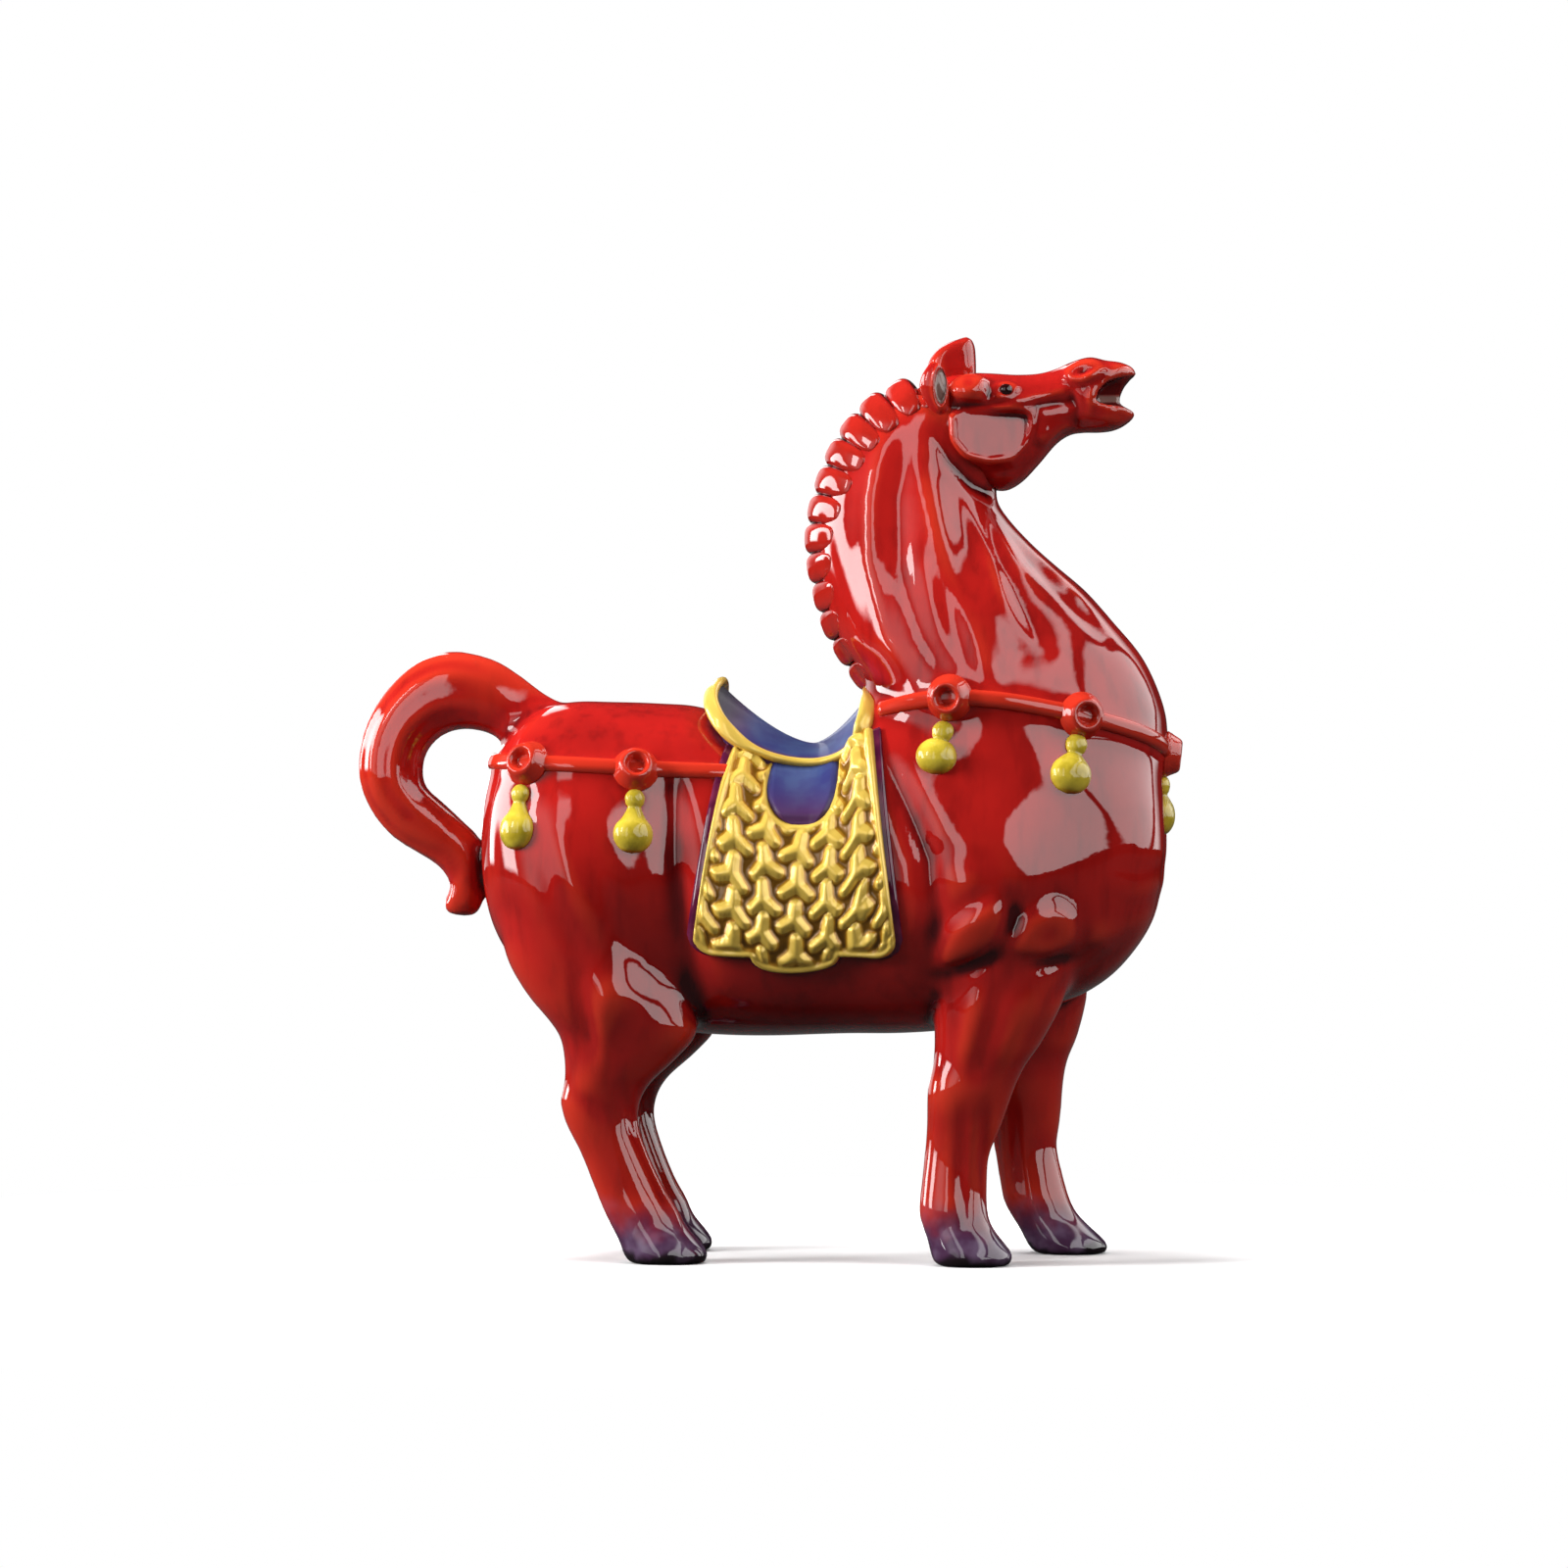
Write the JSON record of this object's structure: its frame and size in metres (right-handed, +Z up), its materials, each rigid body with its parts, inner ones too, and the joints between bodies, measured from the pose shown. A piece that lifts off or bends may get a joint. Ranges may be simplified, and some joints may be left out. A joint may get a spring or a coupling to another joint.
{
  "type": "horse statue",
  "caption": "Standing glazed ceramic horse with raised head, open mouth, knotted mane, looped tail, saddle on a relief cloth, and a harness with rosettes and gourd-shaped bells.",
  "frame": {"origin": "on the floor, under the middle of the whole statue's box", "axes": "+X towards the horse's head, +Y towards its left side, +Z up from the soles of its hooves"},
  "size_m": [0.268, 0.1, 0.299],
  "materials": {
    "red_glaze": "gloss",
    "gold_glaze": "gloss",
    "lemon_glaze": "gloss",
    "blue_glaze": "gloss",
    "plum_glaze": "gloss",
    "dark_glaze": "gloss"
  },
  "bodies": {
    "root": {"body": "red_glaze", "neck": "red_glaze", "head": "red_glaze", "forelock": "red_glaze", "tail": "red_glaze", "breast_strap": "red_glaze", "rump_strap": "red_glaze", "right_ear": "red_glaze", "right_foreleg": "red_glaze", "right_hind_leg": "red_glaze", "right_eye": "dark_glaze", "right_cloth": "gold_glaze", "right_lining": "plum_glaze", "right_flap": "blue_glaze", "left_ear": "red_glaze", "left_foreleg": "red_glaze", "left_hind_leg": "red_glaze", "left_eye": "dark_glaze", "left_cloth": "gold_glaze", "left_lining": "plum_glaze", "left_flap": "blue_glaze", "mane_knot_01": "red_glaze", "mane_knot_02": "red_glaze", "mane_knot_03": "red_glaze", "mane_knot_04": "red_glaze", "mane_knot_05": "red_glaze", "mane_knot_06": "red_glaze", "mane_knot_07": "red_glaze", "mane_knot_08": "red_glaze", "mane_knot_09": "red_glaze", "mane_knot_10": "red_glaze", "mane_knot_11": "red_glaze", "mane_knot_12": "red_glaze", "mane_knot_13": "red_glaze", "saddle_rim": "gold_glaze", "saddle_seat": "blue_glaze", "breast_rosette": "red_glaze", "breast_bell": "lemon_glaze", "right_shoulder_rosette": "red_glaze", "right_shoulder_bell": "lemon_glaze", "left_shoulder_rosette": "red_glaze", "left_shoulder_bell": "lemon_glaze", "right_neck_rosette": "red_glaze", "right_neck_bell": "lemon_glaze", "left_neck_rosette": "red_glaze", "left_neck_bell": "lemon_glaze", "right_hip_rosette": "red_glaze", "right_hip_bell": "lemon_glaze", "left_hip_rosette": "red_glaze", "left_hip_bell": "lemon_glaze", "right_rump_rosette": "red_glaze", "right_rump_bell": "lemon_glaze", "left_rump_rosette": "red_glaze", "left_rump_bell": "lemon_glaze"}
  },
  "joints": []
}
